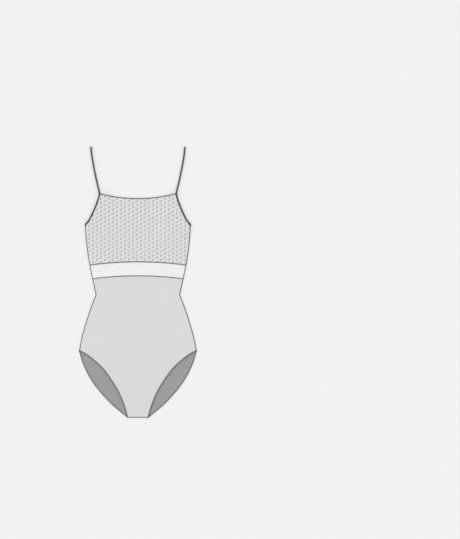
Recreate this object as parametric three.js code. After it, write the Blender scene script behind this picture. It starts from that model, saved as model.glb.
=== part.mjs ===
// Camisole ballet leotard laid flat on its back, in millimetres. The neck is towards +Y and the
// wearer's left is at +X. A height is measured up the garment from the crotch edge, and a half is
// measured out from the centre line. Every line below is the right half of a symmetric outline.
import * as THREE from "three";

// Cloth, and how the front lies over what is under it
const wall = 1;
const gap = 0.3;
const airLoft = 1.4; // most that the front floats over the back
const levelReach = 18; // how far the front stays level beside a hidden tape
const slopeReach = 25; // how far it then slopes down
const loftStart = 90; // heights between which the loft is full
const loftFade = 340;
const loftEnd = 440;

// Whole length, and corners that several pieces share
const garmentLength = 676;
const crotch = { height: 0, half: 25.2 };
const legTop = { height: 166, half: 145.3 };
const waist = { height: 305.4, half: 104 };
const underarm = { height: 480.8, half: 131 };
const neckCorner = { height: 558.4, half: 95.5 };
const strapJoin = { height: 471.9, half: 95 };
const strapTop = { height: 673.7, half: 117 };
const necklineDip = 12.1; // drop of the front neckline at its centre

const frontLegRows = [
  crotch,
  { height: 31.6, half: 34.8 },
  { height: 61.6, half: 47.3 },
  { height: 91.6, half: 65.1 },
  { height: 121.6, half: 87.2 },
  { height: 144.1, half: 111.1 },
  { height: 159.1, half: 131.5 },
  legTop,
];
const backLegRows = [
  crotch,
  { height: 31.6, half: 63.1 },
  { height: 61.6, half: 91.4 },
  { height: 91.6, half: 114.2 },
  { height: 121.6, half: 130.6 },
  { height: 144.1, half: 139.5 },
  legTop,
];
const hipRows = [
  legTop,
  { height: 196.6, half: 139.9 },
  { height: 226.6, half: 131.7 },
  { height: 256.6, half: 122.3 },
  { height: 286.6, half: 111.7 },
  waist,
];
const ribRows = [
  waist,
  { height: 326.6, half: 108.4 },
  { height: 346, half: 112.7 },
  { height: 380.5, half: 119.8 },
  { height: 416.6, half: 125.4 },
  { height: 446.6, half: 128.7 },
  underarm,
];
const armholeRows = [
  underarm,
  { height: 491.6, half: 122.4 },
  { height: 511.6, half: 112 },
  { height: 531.6, half: 103.6 },
  { height: 551.6, half: 97 },
  neckCorner,
];
const strapRows = [
  neckCorner,
  { height: 596.6, half: 104.4 },
  { height: 626.6, half: 110.5 },
  { height: 656.6, half: 115.5 },
  strapTop,
];
const strapUnderRows = [
  { height: 475.9, half: 95.1 },
  { height: 520, half: 94.2 },
  neckCorner,
];
const scoopRows = [
  { height: 381.9, half: 0 },
  { height: 388.5, half: 22.5 },
  { height: 408.6, half: 47.5 },
  { height: 440.6, half: 72.5 },
  { height: 457.6, half: 83.8 },
  strapJoin,
];
const backShoulderRows = [
  strapJoin,
  { height: 475.9, half: 108.8 },
  { height: 478.6, half: 118.8 },
  underarm,
];

// Seams of the net band: height at the centre and at the side, and how the one bends to the other
const seams = {
  frontBandTop: { centre: 388.5, side: 380.5, power: 2 },
  frontBandFoot: { centre: 353.3, side: 346, power: 2 },
  backBandTop: { centre: 370.4, side: 380.5, power: 1.2 },
  backBandFoot: { centre: 337.8, side: 346, power: 1.2 },
};
const seamHalf = 130;

// Stretches that each line is cut into
const steps = {
  leg: 14,
  hip: 9,
  rib: 12,
  armhole: 8,
  strap: 9,
  strapUnder: 6,
  neckline: 11,
  scoop: 13,
  backShoulder: 3,
  seam: 10,
  fold: 6,
};

const tapes = {
  neck: { width: 3, thick: 2.4 },
  armhole: { width: 5, thick: 2.4 },
  strap: { width: 5, thick: 1.8 },
  backNeck: { width: 5, thick: 1.8 },
  leg: { width: 3.5, thick: 1.6 },
};
const tapeBevel = 0.5;

// The strap's fold at the top of the shoulder, where its two legs part a little
const foldRadius = 1.4;
const foldOpening = 32;
const strapEndCut = new THREE.Vector2(1, 0.55);

const colours = {
  jersey: "#dadada",
  mesh: "#d6d6d6",
  backMesh: "#eeeeee",
  lining: "#c9c9c9",
  net: "#f2f2f2",
  charcoal: "#4b4b4b",
  grey: "#8b8b8b",
};
const clothRoughness = 0.85;

const shortestStep = 3; // least distance from a panel's corner to its next edge point
const edgeReach = 8; // what is added to both ends of an edge so that it crosses its neighbours
const acrossBody = new THREE.Vector2(1, 0);
const upBody = new THREE.Vector2(0, 1);

// Lines in plan: arrays of points whose x is a half and whose y is a height

function curveThrough(rows) {
  const points = rows.map(({ half, height }) => new THREE.Vector3(half, height, 0));
  return new THREE.CatmullRomCurve3(points, false, "centripetal");
}

function planPoints(curve, stretches) {
  return curve.getSpacedPoints(stretches).map(({ x, y }) => new THREE.Vector2(x, y));
}

function lineThrough(rows, stretches) {
  return planPoints(curveThrough(rows), stretches);
}

// The right half of a line that is smooth across the centre.
function centredLine(rows, stretches) {
  const mirrored = rows.slice(1).reverse().map(({ half, height }) => ({ half: -half, height }));
  const whole = planPoints(curveThrough([...mirrored, ...rows]), 2 * stretches);
  return whole.slice(stretches);
}

// A line from the centre out to a half, from a formula for its height.
function formulaLine(endHalf, stretches, heightOf) {
  return Array.from({ length: stretches + 1 }, (_, index) => {
    const half = endHalf * index / stretches;
    return new THREE.Vector2(half, heightOf(half));
  });
}

function seamLine({ centre, side, power }) {
  const sideHalf = halfAt(rib, side);
  const heightOf = (half) => centre + (side - centre) * (half / sideHalf) ** power;
  return formulaLine(seamHalf, steps.seam, heightOf);
}

// The direction square to each stretch of a line, to the right of travel.
function rightNormals(line) {
  return line.slice(1).map((point, index) => {
    const along = point.clone().sub(line[index]).normalize();
    return new THREE.Vector2(along.y, -along.x);
  });
}

// At each point of a line, the step that moves both stretches beside it one unit to the right.
// Ends are cut along the given directions, or square to the line.
function mitres(line, cuts = {}) {
  const normals = rightNormals(line);
  return line.map((_, index) => {
    const before = normals[Math.max(index - 1, 0)];
    const after = normals[Math.min(index, normals.length - 1)];
    const ends = { 0: cuts.start, [line.length - 1]: cuts.end };
    const direction = ends[index] ?? before.clone().add(after);
    return direction.clone().divideScalar(direction.dot(after));
  });
}

function movedRight(line, distance) {
  const moves = mitres(line);
  return line.map((point, index) => point.clone().addScaledVector(moves[index], distance));
}

// A line with its first and last stretches made longer, so that it crosses its neighbours.
function extended(line) {
  const longerEnd = (end, next) => end.clone().add(end.clone().sub(next).setLength(edgeReach));
  const start = longerEnd(line[0], line[1]);
  const end = longerEnd(line.at(-1), line.at(-2));
  return [start, ...line.slice(1, -1), end];
}

// Where two lines first cross, and which point of each comes next.
function crossing(first, second) {
  for (let i = 1; i < first.length; i += 1) {
    for (let j = 1; j < second.length; j += 1) {
      const along = first[i].clone().sub(first[i - 1]);
      const other = second[j].clone().sub(second[j - 1]);
      const apart = second[j - 1].clone().sub(first[i - 1]);
      const turn = along.cross(other);
      const share = apart.cross(other) / turn;
      const otherShare = apart.cross(along) / turn;
      if (share >= 0 && share <= 1 && otherShare >= 0 && otherShare <= 1) {
        const point = first[i - 1].clone().addScaledVector(along, share);
        return { point, first: i, second: j };
      }
    }
  }
  throw new Error("two edges of a panel do not meet");
}

function heightAt(line, half) {
  const next = Math.max(1, line.findIndex((point) => point.x >= half));
  const [low, high] = [line[next - 1], line[next]];
  return THREE.MathUtils.mapLinear(half, low.x, high.x, low.y, high.y);
}

function halfAt(line, height) {
  const next = Math.max(1, line.findIndex((point) => point.y >= height));
  const [low, high] = [line[next - 1], line[next]];
  return THREE.MathUtils.mapLinear(height, low.y, high.y, low.x, high.x);
}

function distanceTo(line, point) {
  const nearest = new THREE.Vector3();
  const place = new THREE.Vector3(point.x, point.y, 0);
  const distances = line.slice(1).map((end, index) => {
    const start = line[index];
    const stretch = new THREE.Line3(
      new THREE.Vector3(start.x, start.y, 0),
      new THREE.Vector3(end.x, end.y, 0),
    );
    stretch.closestPointToPoint(place, true, nearest);
    return nearest.distanceTo(place);
  });
  return Math.min(...distances);
}

const frontLeg = lineThrough(frontLegRows, steps.leg);
const backLeg = lineThrough(backLegRows, steps.leg);
const hip = lineThrough(hipRows, steps.hip);
const rib = lineThrough(ribRows, steps.rib);
const armhole = lineThrough(armholeRows, steps.armhole);
const strap = lineThrough(strapRows, steps.strap);
const strapUnder = lineThrough(strapUnderRows, steps.strapUnder);
const neckline = formulaLine(neckCorner.half, steps.neckline, (half) => {
  return neckCorner.height - necklineDip * (1 - (half / neckCorner.half) ** 2);
});
const scoop = centredLine(scoopRows, steps.scoop);
const backShoulder = lineThrough(backShoulderRows, steps.backShoulder);
const backNeck = [...scoop, ...backShoulder.slice(1)];
const frontOutline = [...frontLeg, ...hip.slice(1), ...rib.slice(1)];
const frontBandTop = seamLine(seams.frontBandTop);
const frontBandFoot = seamLine(seams.frontBandFoot);
const backBandTop = seamLine(seams.backBandTop);
const backBandFoot = seamLine(seams.backBandFoot);
const crotchEdge = [new THREE.Vector2(0, 0), new THREE.Vector2(2 * crotch.half, 0)];

// How high a hidden piece holds the front, at a distance from it.
function rise(distance, lift, level = levelReach) {
  return lift * (1 - THREE.MathUtils.smoothstep(distance, level, level + slopeReach));
}

function loft(point) {
  const share = Math.min(1, point.x / halfAt(frontOutline, Math.min(point.y, underarm.height)));
  const start = THREE.MathUtils.smoothstep(point.y, 0, loftStart);
  const end = 1 - THREE.MathUtils.smoothstep(point.y, loftFade, loftEnd);
  return airLoft * (1 - share * share) * start * end;
}

// Height above the floor of the underside of the front.
function frontBase(x, height) {
  const point = new THREE.Vector2(Math.abs(x), height);
  const overBack = height <= heightAt(backNeck, Math.min(point.x, underarm.half))
    ? wall + gap + loft(point)
    : rise(distanceTo(backNeck, point), wall + gap, 0);
  const overTapes = [
    rise(distanceTo(backNeck, point), tapes.backNeck.thick + gap),
    rise(distanceTo(strapUnder, point), tapes.strap.thick + gap),
    rise(distanceTo(strap, point), tapes.strap.thick + gap),
    rise(distanceTo(backLeg, point), tapes.leg.thick + gap),
  ];
  return Math.max(overBack, ...overTapes);
}

const floor = () => 0;

// The points up a panel's side, from its foot edge, along each stretch, to its top edge.
function panelSide(foot, stretches, top) {
  const lines = [foot, ...stretches, top].map(extended);
  const meets = lines.slice(1).map((line, index) => crossing(lines[index], line));
  const corners = meets.map(({ point }) => point);
  const isClear = (point) => corners.every((corner) => corner.distanceTo(point) > shortestStep);
  const side = stretches.flatMap((_, index) => {
    const between = lines[index + 1].slice(meets[index].second, meets[index + 1].first);
    return [corners[index], ...between.filter(isClear)];
  });
  return [...side, corners.at(-1)];
}

// Rows and columns of plan points over a panel. Each row is level with a point of the side, and
// bends towards the foot edge or the top edge by its share of the way up the side.
function panelGrid({ foot, stretches, top }) {
  const side = panelSide(foot, stretches, top);
  const footCorner = side[0];
  const topCorner = side.at(-1);
  const halves = top.map((point) => point.x).filter((x) => x > 0 && x < topCorner.x - shortestStep);
  const shares = [...halves.map((x) => x / topCorner.x), 1];
  const columns = [...shares.map((share) => -share).reverse(), 0, ...shares];
  const lengths = side.map((point, index) => (index ? point.distanceTo(side[index - 1]) : 0));
  const total = lengths.reduce((sum, length) => sum + length, 0);
  let travelled = 0;
  return side.map((point, row) => {
    travelled += lengths[row];
    const up = travelled / total;
    return columns.map((share) => {
      const footBend = heightAt(foot, Math.abs(share) * footCorner.x) - footCorner.y;
      const topBend = heightAt(top, Math.abs(share) * topCorner.x) - topCorner.y;
      const height = point.y + (1 - up) * footBend + up * topBend;
      return new THREE.Vector2(share * point.x, height);
    });
  });
}

// A closed mesh whose faces point out. The garment's middle goes to the origin.
function closedGeometry(points, faces) {
  const volume = faces.reduce((sum, [a, b, c]) => {
    return sum + points[a].clone().cross(points[b]).dot(points[c]);
  }, 0);
  const outward = volume > 0 ? faces : faces.map(([a, b, c]) => [a, c, b]);
  const geometry = new THREE.BufferGeometry().setFromPoints(points);
  geometry.setIndex(outward.flat());
  geometry.translate(0, -garmentLength / 2, 0);
  geometry.computeVertexNormals();
  return geometry;
}

function quad(a, b, c, d) {
  return [[a, b, c], [a, c, d]];
}

// A layer of cloth one wall thick over a panel's grid, its underside at the given base.
function layerGeometry(grid, base, lift = 0) {
  const rows = grid.length;
  const columns = grid[0].length;
  const under = grid.flat().map(({ x, y }) => new THREE.Vector3(x, y, base(x, y) + lift));
  const over = under.map(({ x, y, z }) => new THREE.Vector3(x, y, z + wall));
  const at = (row, column) => row * columns + column;
  const above = (index) => index + under.length;
  const faces = [];
  for (let row = 1; row < rows; row += 1) {
    for (let column = 1; column < columns; column += 1) {
      const ring = [at(row - 1, column - 1), at(row - 1, column), at(row, column), at(row, column - 1)];
      const upward = quad(...ring);
      faces.push(...upward.map((face) => face.map(above)));
      faces.push(...upward.map((face) => face.toReversed()));
    }
  }
  const rim = [
    ...Array.from({ length: columns }, (_, column) => at(0, column)),
    ...Array.from({ length: rows - 1 }, (_, row) => at(row + 1, columns - 1)),
    ...Array.from({ length: columns - 1 }, (_, column) => at(rows - 1, columns - 2 - column)),
    ...Array.from({ length: rows - 2 }, (_, row) => at(rows - 2 - row, 0)),
  ];
  rim.forEach((index, place) => {
    const next = rim[(place + 1) % rim.length];
    faces.push(...quad(index, next, above(next), above(index)));
  });
  return closedGeometry([...under, ...over], faces);
}

// Stations of a tape along a plan line: its middle, half its width across, and its thickness.
function tapeStations(line, { width, thick }, base, cuts) {
  const across = mitres(line, cuts);
  return line.map((point, index) => ({
    middle: new THREE.Vector3(point.x, point.y, base(point.x, point.y) + thick / 2),
    across: new THREE.Vector3(across[index].x, across[index].y, 0).multiplyScalar(width / 2),
    thick,
  }));
}

// A flat tape with bevelled edges, swept through its stations and closed at both ends.
function tapeGeometry(stations, side = 1) {
  const middles = stations.map(({ middle }) => middle);
  const points = stations.flatMap(({ middle, across, thick }, index) => {
    const before = middles[Math.max(index - 1, 0)];
    const after = middles[Math.min(index + 1, middles.length - 1)];
    const along = after.clone().sub(before);
    const up = along.clone().cross(across).setLength(-thick / 2);
    const inner = across.clone().setLength(across.length() - tapeBevel);
    return [
      middle.clone().add(across),
      middle.clone().add(inner).add(up),
      middle.clone().sub(inner).add(up),
      middle.clone().sub(across),
      middle.clone().sub(inner).sub(up),
      middle.clone().add(inner).sub(up),
    ];
  });
  const corners = points.length / stations.length;
  const faces = [];
  for (let station = 1; station < stations.length; station += 1) {
    for (let corner = 0; corner < corners; corner += 1) {
      const next = (corner + 1) % corners;
      const ring = station * corners;
      const last = ring - corners;
      faces.push(...quad(last + corner, last + next, ring + next, ring + corner));
    }
  }
  const lastRing = points.length - corners;
  for (let corner = 2; corner < corners; corner += 1) {
    faces.push([0, corner, corner - 1], [lastRing, lastRing + corner - 1, lastRing + corner]);
  }
  return closedGeometry(points.map(({ x, y, z }) => new THREE.Vector3(side * x, y, z)), faces);
}

function underarmCut() {
  return rib.at(-1).clone().sub(rib.at(-2)).normalize();
}

// Under the strap's upper leg, which lies on the lower one and lifts off it towards the fold.
function strapBase(x, height) {
  const lift = 2 * foldRadius - tapes.strap.thick - gap;
  const opening = THREE.MathUtils.smoothstep(height, strapTop.height - foldOpening, strapTop.height);
  return frontBase(x, height) + lift * opening;
}

// The half circle from the end of the strap's upper leg to the start of its lower leg.
function foldStations(top, direction) {
  const centre = tapes.strap.thick / 2 + foldRadius;
  return Array.from({ length: steps.fold - 1 }, (_, index) => {
    const angle = Math.PI * (index + 1) / steps.fold;
    const out = direction.clone().setLength(foldRadius * Math.sin(angle));
    const middle = new THREE.Vector3(
      top.middle.x + out.x,
      top.middle.y + out.y,
      centre + foldRadius * Math.cos(angle),
    );
    return { ...top, middle };
  });
}

// One tape binds the front armhole, goes up as the strap, folds over the shoulder and comes back
// down under itself to the back neck binding.
function strapStations() {
  const upperLine = [...armhole, ...strap.slice(1)];
  const lowerLine = [...strapUnder, ...strap.slice(1)];
  const cuts = { start: underarmCut() };
  const bound = tapeStations(upperLine, tapes.armhole, frontBase, cuts).slice(0, armhole.length);
  const upper = tapeStations(upperLine, tapes.strap, strapBase, cuts).slice(armhole.length);
  const lower = tapeStations(lowerLine, tapes.strap, floor, { start: strapEndCut }).reverse();
  const fold = foldStations(upper.at(-1), strap.at(-1).clone().sub(strap.at(-2)));
  return [...bound, ...upper, ...fold, ...lower];
}

function mirroredStations(stations) {
  const left = stations.slice(1).reverse().map(({ middle, across, thick }) => ({
    middle: new THREE.Vector3(-middle.x, middle.y, middle.z),
    across: new THREE.Vector3(-across.x, across.y, across.z),
    thick,
  }));
  return [...left, ...stations];
}

const leotard = new THREE.Group();

function addPiece(name, colour, geometry) {
  const material = new THREE.MeshStandardMaterial({
    color: colour,
    roughness: clothRoughness,
    metalness: 0,
  });
  const piece = new THREE.Mesh(geometry, material);
  piece.name = name;
  leotard.add(piece);
}

function addPanels() {
  const seam = gap / 2;
  const legInset = tapes.leg.width / 2 + gap;
  const tapeInset = tapes.strap.width / 2 + gap;
  const neckInset = tapes.neck.width / 2 + gap;
  const frontBodice = panelGrid({
    foot: movedRight(frontBandTop, -seam),
    stretches: [rib, movedRight(armhole, -tapeInset)],
    top: movedRight(neckline, neckInset),
  });
  const frontBand = panelGrid({
    foot: movedRight(frontBandFoot, -seam),
    stretches: [rib],
    top: movedRight(frontBandTop, seam),
  });
  const frontBrief = panelGrid({
    foot: crotchEdge,
    stretches: [movedRight(frontLeg, -legInset), hip, rib],
    top: movedRight(frontBandFoot, seam),
  });
  const backBodice = panelGrid({
    foot: movedRight(backBandTop, -seam),
    stretches: [rib],
    top: movedRight(backNeck, tapeInset),
  });
  const backBand = panelGrid({
    foot: movedRight(backBandFoot, -seam),
    stretches: [rib],
    top: movedRight(backBandTop, seam),
  });
  const backBrief = panelGrid({
    foot: crotchEdge,
    stretches: [movedRight(backLeg, -legInset), hip, rib],
    top: movedRight(backBandFoot, seam),
  });
  addPiece("back_bodice", colours.backMesh, layerGeometry(backBodice, floor));
  addPiece("back_band", colours.net, layerGeometry(backBand, floor));
  addPiece("back_brief", colours.jersey, layerGeometry(backBrief, floor));
  addPiece("front_lining", colours.lining, layerGeometry(frontBodice, frontBase));
  addPiece("front_bodice", colours.mesh, layerGeometry(frontBodice, frontBase, wall + gap));
  addPiece("front_band", colours.net, layerGeometry(frontBand, frontBase));
  addPiece("front_brief", colours.jersey, layerGeometry(frontBrief, frontBase));
}

function addNeckBindings() {
  const meetsStrap = movedRight(armhole, -tapes.armhole.width / 2 - gap);
  const end = crossing(extended(neckline), extended(meetsStrap));
  const isClear = (point) => point.distanceTo(end.point) > shortestStep;
  const shortened = [...neckline.slice(0, end.first).filter(isClear), end.point];
  const armholeCut = armhole.at(-1).clone().sub(armhole.at(-2));
  const front = tapeStations(shortened, tapes.neck, frontBase, { start: upBody, end: armholeCut });
  const backCuts = { start: upBody, end: underarmCut() };
  const back = tapeStations(backNeck, tapes.backNeck, floor, backCuts);
  addPiece("front_neck_binding", colours.grey, tapeGeometry(mirroredStations(front)));
  addPiece("back_neck_binding", colours.charcoal, tapeGeometry(mirroredStations(back)));
}

function addPairs() {
  const hipCut = hip[0].clone().sub(hip[1]).normalize();
  const legCuts = { start: acrossBody, end: hipCut };
  const frontElastic = tapeStations(frontLeg, tapes.leg, frontBase, legCuts);
  const backElastic = tapeStations(backLeg, tapes.leg, floor, { start: acrossBody });
  const strapTape = strapStations();
  const sides = { left: 1, right: -1 };
  Object.entries(sides).forEach(([side, sign]) => {
    addPiece(`strap_${side}`, colours.charcoal, tapeGeometry(strapTape, sign));
    addPiece(`leg_elastic_front_${side}`, colours.grey, tapeGeometry(frontElastic, sign));
    addPiece(`leg_elastic_back_${side}`, colours.grey, tapeGeometry(backElastic, sign));
  });
}

addPanels();
addNeckBindings();
addPairs();

export default leotard;
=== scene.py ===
import math
from functools import partialmethod
import bpy
import numpy as np
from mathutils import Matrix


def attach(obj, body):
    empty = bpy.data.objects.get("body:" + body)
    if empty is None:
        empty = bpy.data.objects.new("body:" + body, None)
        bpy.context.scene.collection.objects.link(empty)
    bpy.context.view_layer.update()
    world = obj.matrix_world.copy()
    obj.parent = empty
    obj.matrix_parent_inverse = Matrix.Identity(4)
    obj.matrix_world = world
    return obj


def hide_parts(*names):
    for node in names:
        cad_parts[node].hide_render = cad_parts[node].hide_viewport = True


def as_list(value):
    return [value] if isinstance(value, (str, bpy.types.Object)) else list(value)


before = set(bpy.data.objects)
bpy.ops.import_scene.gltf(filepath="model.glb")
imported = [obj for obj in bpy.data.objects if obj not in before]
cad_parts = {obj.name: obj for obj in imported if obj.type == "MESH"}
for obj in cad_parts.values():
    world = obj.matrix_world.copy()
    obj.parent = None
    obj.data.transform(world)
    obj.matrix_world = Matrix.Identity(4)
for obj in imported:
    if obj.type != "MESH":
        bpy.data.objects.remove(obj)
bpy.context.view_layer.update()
print("stage: frame loaded")

# A camisole leotard laid flat on its back. Plan sizes are in millimetres: x is measured out from
# the centre line (wearer's left is +x) and y is the height above the crotch edge.
mm = 0.001
fullTurn = 2 * math.pi
lineStep = 2.0  # between the points of the plan's lines
garment = {
    "length": 676.0,
    "wall": 1.0,
    "gap": 0.3,
    "airLoft": 1.4,
    "levelReach": 18.0,
    "slopeReach": 25.0,
    "loft": (0.0, 90.0, 340.0, 440.0),  # heights where the air under the front starts, fills, fades, ends
    "gridStep": 2.6,
    "cornerRoom": 0.5,  # how near a corner of a panel its edge has no other point
}

# Each row is (height, half), as in the solids.
planRows = {
    "frontLeg": [(0, 25.2), (31.6, 34.8), (61.6, 47.3), (91.6, 65.1), (121.6, 87.2), (144.1, 111.1),
                 (159.1, 131.5), (166, 145.3)],
    "backLeg": [(0, 25.2), (31.6, 63.1), (61.6, 91.4), (91.6, 114.2), (121.6, 130.6), (144.1, 139.5),
                (166, 145.3)],
    "hip": [(166, 145.3), (196.6, 139.9), (226.6, 131.7), (256.6, 122.3), (286.6, 111.7), (305.4, 104)],
    "rib": [(305.4, 104), (326.6, 108.4), (346, 112.7), (380.5, 119.8), (416.6, 125.4), (446.6, 128.7),
            (480.8, 131)],
    "armhole": [(480.8, 131), (491.6, 122.4), (511.6, 112), (531.6, 103.6), (551.6, 97), (558.4, 95.5)],
    "strap": [(558.4, 95.5), (596.6, 104.4), (626.6, 110.5), (656.6, 115.5), (673.7, 117)],
    "strapUnder": [(475.9, 95.1), (520, 94.2), (558.4, 95.5)],
    "scoop": [(381.9, 0), (388.5, 22.5), (408.6, 47.5), (440.6, 72.5), (457.6, 83.8), (471.9, 95)],
    "backShoulder": [(471.9, 95), (475.9, 108.8), (478.6, 118.8), (480.8, 131)],
}

# Seams of the net band: height at the centre, height at the side, and how the one bends to the other.
bandSeams = {
    "frontTop": (388.5, 380.5, 2.0),
    "frontFoot": (353.3, 346.0, 2.0),
    "backTop": (370.4, 380.5, 1.2),
    "backFoot": (337.8, 346.0, 1.2),
}
neckline = {"dip": 12.1, "points": 48}
crotchReach = 50.0  # the crotch line goes out past both leg lines, which cut it

# Width and thickness of each tape, and the height of the slot that the cloth's edge goes into.
tapes = {
    "neck": {"width": 3.0, "thick": 2.4, "slot": 1.4},
    "armhole": {"width": 4.3, "thick": 2.4, "slot": 1.4},
    "strap": {"width": 3.7, "thick": 1.8, "slot": 0.08},
    "backNeck": {"width": 4.6, "thick": 1.8, "slot": 0.72},
    "leg": {"width": 3.5, "thick": 1.6, "slot": 0.86},
}
stitchRoom = 0.24  # height of the lower tapes' body over the surface, for the stitches under it


# Distance walked to each point of a line.
def walked(line):
    return np.concatenate([[0], np.cumsum(np.linalg.norm(np.diff(line, axis=0), axis=1))])


def evenSteps(line, step):
    along = walked(line)
    places = np.linspace(0, along[-1], max(2, round(along[-1] / step)) + 1)
    return resampled(line, line, places)


# Values given at the points of a line, read off at places along it.
def resampled(values, line, places):
    along = walked(line)
    return np.stack([np.interp(places, along, values[:, axis]) for axis in range(values.shape[1])], axis=1)


# Centripetal Catmull-Rom through the rows: each span is a cubic whose end slopes come from the rows
# on both sides, weighted by the square root of their distances. It is then walked in even steps.
def smoothLine(rows, spanPoints=60):
    knots = np.array([(half, height) for height, half in rows], float)
    rim = np.vstack([2 * knots[0] - knots[1], knots, 2 * knots[-1] - knots[-2]])
    p0, p1, p2, p3 = rim[:-3], rim[1:-2], rim[2:-1], rim[3:]
    d0, d1, d2 = (np.sqrt(np.linalg.norm(b - a, axis=1))[:, None]
                  for a, b in ((p0, p1), (p1, p2), (p2, p3)))
    startSlope = ((p1 - p0) / d0 - (p2 - p0) / (d0 + d1) + (p2 - p1) / d1) * d1
    endSlope = ((p2 - p1) / d1 - (p3 - p1) / (d1 + d2) + (p3 - p2) / d2) * d1
    t = np.linspace(0, 1, spanPoints, endpoint=False)[None, :, None]
    spans = (p1[:, None] + startSlope[:, None] * t
             + (3 * (p2 - p1) - 2 * startSlope - endSlope)[:, None] * t ** 2
             + (2 * (p1 - p2) + startSlope + endSlope)[:, None] * t ** 3)
    return evenSteps(np.vstack([spans.reshape(-1, 2), knots[-1:]]), lineStep)


# Height of a band seam: from the centre's to the side's by a power of the distance out.
def seamLine(centre, side, power):
    x = np.arange(0, lines["rib"][-1, 0], lineStep)
    sideHalf = np.interp(side, lines["rib"][:, 1], lines["rib"][:, 0])
    return np.stack([x, centre + (side - centre) * (x / sideHalf) ** power], axis=1)


# The direction square to a line, to the right of travel, averaged at its corners.
def rightOf(line):
    along = np.diff(line, axis=0)
    along /= np.linalg.norm(along, axis=1)[:, None]
    normal = np.stack([along[:, 1], -along[:, 0]], axis=1)
    mean = np.vstack([normal[:1], normal[:-1] + normal[1:], normal[-1:]])
    after = np.vstack([normal, normal[-1:]])
    return mean / (mean * after).sum(axis=1)[:, None]


def movedRight(line, distance):
    return line + rightOf(line) * distance


def unit(vector):
    return vector / np.linalg.norm(vector)


def longer(line, reach=8.0):
    start = line[0] + unit(line[0] - line[1]) * reach
    end = line[-1] + unit(line[-1] - line[-2]) * reach
    return np.vstack([start, line[1:-1], end])


# First crossing of two lines: every stretch of one is tried against every stretch of the other.
def crossing(first, second):
    along, other = np.diff(first, axis=0)[:, None], np.diff(second, axis=0)[None]
    apart = second[None, :-1] - first[:-1, None]
    turn = along[..., 0] * other[..., 1] - along[..., 1] * other[..., 0]
    turn = np.where(abs(turn) < 1e-12, 1e-12, turn)  # parallel stretches meet far away
    share = (apart[..., 0] * other[..., 1] - apart[..., 1] * other[..., 0]) / turn
    otherShare = (apart[..., 0] * along[..., 1] - apart[..., 1] * along[..., 0]) / turn
    hit = (share >= 0) & (share <= 1) & (otherShare >= 0) & (otherShare <= 1)
    i, j = np.argwhere(hit)[0]
    return first[i] + (first[i + 1] - first[i]) * share[i, j], i + 1, j + 1


# Distance from each place to the nearest point of a line, and how far along the line that point is.
def nearest(line, x, y):
    places = np.stack([np.abs(x).ravel(), y.ravel()], axis=1)[:, None]
    start, along = line[None, :-1], np.diff(line, axis=0)[None]
    share = np.clip(((places - start) * along).sum(2) / (along ** 2).sum(2), 0, 1)
    apart = np.linalg.norm(places - start - along * share[..., None], axis=2)
    best = apart.argmin(axis=1)
    rows = np.arange(len(best))
    lengths = walked(line)
    where = lengths[best] + share[rows, best] * np.diff(lengths)[best]
    return apart[rows, best].reshape(x.shape), where.reshape(x.shape)


# Distance to the nearest of several of the garment's lines.
def distanceTo(x, y, *names):
    return np.min([nearest(lines[name], x, y)[0] for name in names], axis=0)


def smoothstep(value, low, high):
    t = np.clip((value - low) / (high - low), 0, 1)
    return t * t * (3 - 2 * t)


lines = {name: smoothLine(rows) for name, rows in planRows.items() if name != "scoop"}
scoopRows = planRows["scoop"]  # smoothed as a whole, so that it is level at the centre
wholeScoop = smoothLine([(height, -half) for height, half in scoopRows[:0:-1]] + scoopRows)
lines["scoop"] = evenSteps(wholeScoop[wholeScoop[:, 0] > -lineStep / 4], lineStep)
lines["scoop"][0, 0] = 0
lines["backNeck"] = np.vstack([lines["scoop"], lines["backShoulder"][1:]])
neckHalf, neckHeight = lines["armhole"][-1]
across = np.linspace(0, neckHalf, neckline["points"])
dip = neckline["dip"] * (1 - (across / neckHalf) ** 2)
lines["neckline"] = np.stack([across, neckHeight - dip], axis=1)
for seamName, (centre, side, power) in bandSeams.items():
    lines[seamName] = seamLine(centre, side, power)
lines["side"] = np.vstack([lines["hip"], lines["rib"][1:]])
lines["frontOutline"] = np.vstack([lines["frontLeg"], lines["side"][1:]])
lines["crotch"] = np.array([(0, 0), (crotchReach, 0)])


# How high a hidden piece holds the front: its full lift near it, fading to nothing further out.
def rise(distance, lift, level=garment["levelReach"]):
    return lift * (1 - smoothstep(distance, level, level + garment["slopeReach"]))


# Lines whose tapes run under the front
underTapes = {"backNeck": "backNeck", "strapUnder": "strap", "strap": "strap", "backLeg": "leg"}


# Underside of the front above the surface: over the back it lies on the back's wall with a little
# air between, and it is lifted to the top of each tape that runs under it. Past the back's neckline
# it sinks to the surface. The highest of these is taken at each place.
def frontBase(x, y):
    half = np.abs(x)
    onWall = garment["wall"] + garment["gap"]
    outline = np.interp(y, lines["frontOutline"][:, 1], lines["frontOutline"][:, 0])
    start, full, fade, end = garment["loft"]
    air = garment["airLoft"] * (1 - np.minimum(1, half / outline) ** 2)
    air *= smoothstep(y, start, full) * (1 - smoothstep(y, fade, end))
    backTop = np.interp(half, lines["backNeck"][:, 0], lines["backNeck"][:, 1])
    base = np.where(y <= backTop, onWall + air, rise(distanceTo(x, y, "backNeck"), onWall, 0))
    for name, tape in underTapes.items():
        base = np.maximum(base, rise(distanceTo(x, y, name), tapes[tape]["thick"] + garment["gap"]))
    return base


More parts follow.
